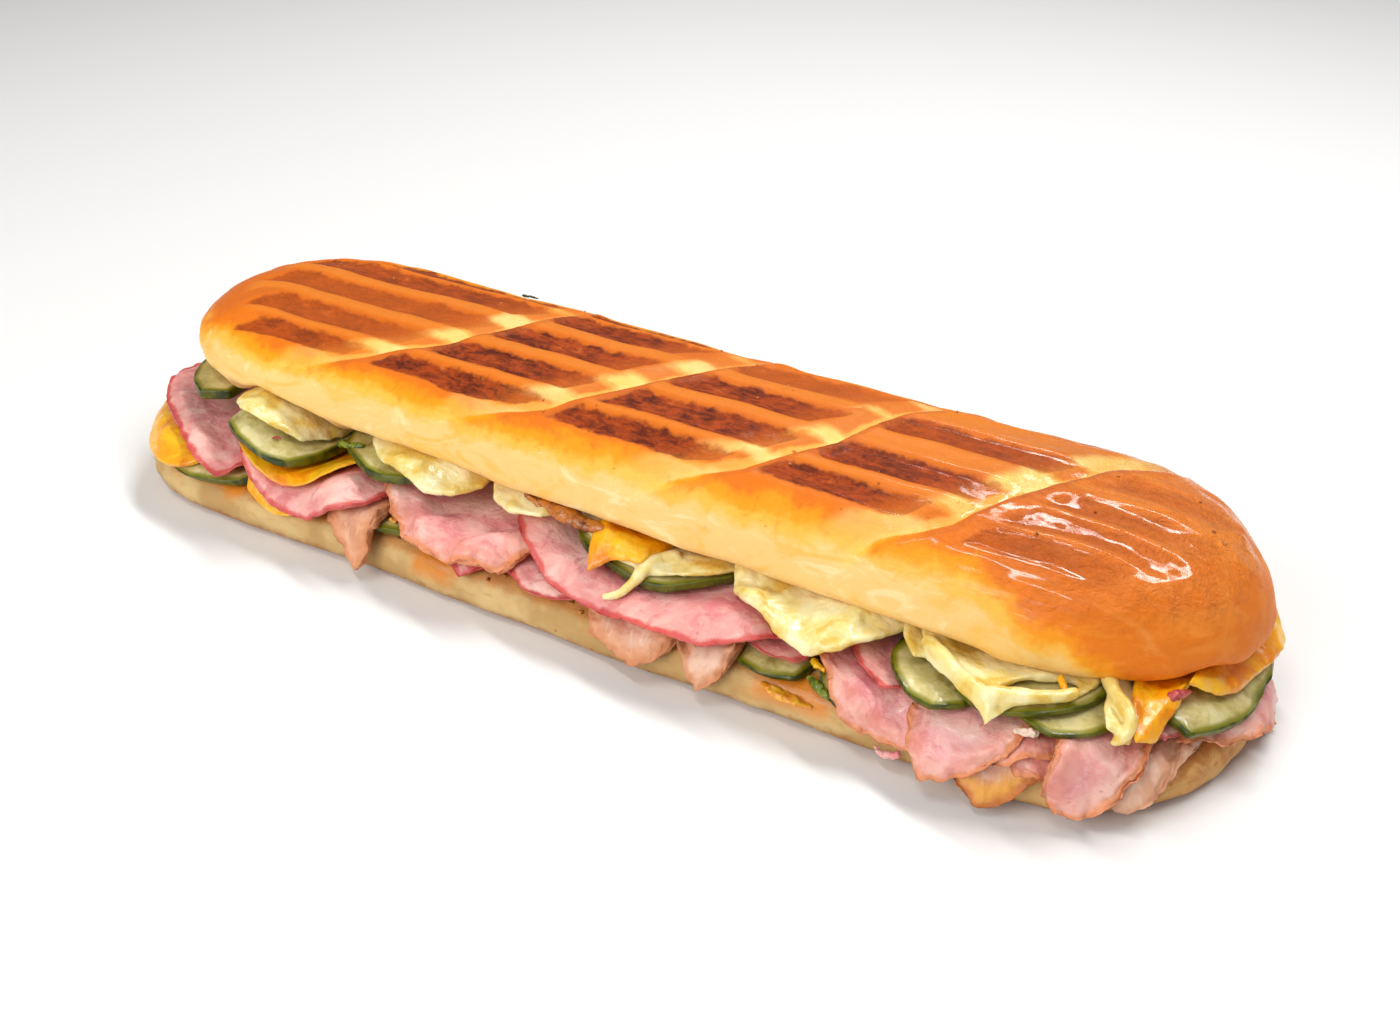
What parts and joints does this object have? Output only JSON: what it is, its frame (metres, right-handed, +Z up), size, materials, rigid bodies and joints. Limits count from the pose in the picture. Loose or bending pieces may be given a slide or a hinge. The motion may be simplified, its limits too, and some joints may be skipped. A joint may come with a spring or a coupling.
{
  "type": "pressed cuban sandwich",
  "caption": "Long pressed sandwich roll with grill marks, filled with ham, roast pork, pickle slices and melted cheese that hang out of its sides.",
  "frame": {"origin": "middle of the bottom half's flat underside", "axes": "+X along the roll, -Y towards the side that shows its fillings most, +Z up"},
  "size_m": [0.2944, 0.0955, 0.0456],
  "materials": {
    "crust": "baked and grilled crust, glossy at the right end",
    "bread": "pale baked crust and soft crumb",
    "ham": "moist cooked ham",
    "pork": "moist roast pork",
    "cheddar": "warm soft cheddar",
    "melt": "melted white cheese",
    "pickle": "wet pickle slices with dark rind"
  },
  "bodies": {
    "root": {"bottom_bread": "bread", "pickle_low_a": "pickle", "pickle_low_b": "pickle", "pickle_low_c": "pickle", "pickle_low_d": "pickle", "pork_a": "pork", "pork_b": "pork", "pork_c": "pork", "pork_d": "pork", "pork_e": "pork", "cheddar_a": "cheddar", "cheddar_c": "cheddar", "ham_d": "ham", "ham_a": "ham", "ham_b": "ham", "ham_f": "ham", "ham_j": "ham", "ham_c": "ham", "ham_h": "ham", "ham_l": "ham", "ham_e": "ham", "ham_i": "ham", "ham_k": "ham", "ham_g": "ham", "ham_m": "ham", "cheddar_b": "cheddar", "pickle_up_a": "pickle", "pickle_up_b": "pickle", "pickle_up_c": "pickle", "pickle_up_d": "pickle", "pickle_up_e": "pickle", "pickle_up_g": "pickle", "pickle_up_f": "pickle", "pickle_up_h": "pickle", "melt_a": "melt", "melt_b": "melt", "melt_c": "melt", "melt_d": "melt", "melt_e": "melt", "melt_f": "melt", "melt_g": "melt", "melt_h": "melt", "cheddar_e": "cheddar", "cheddar_d": "cheddar", "cheddar_f": "cheddar", "top_bread": "crust"}
  },
  "joints": []
}
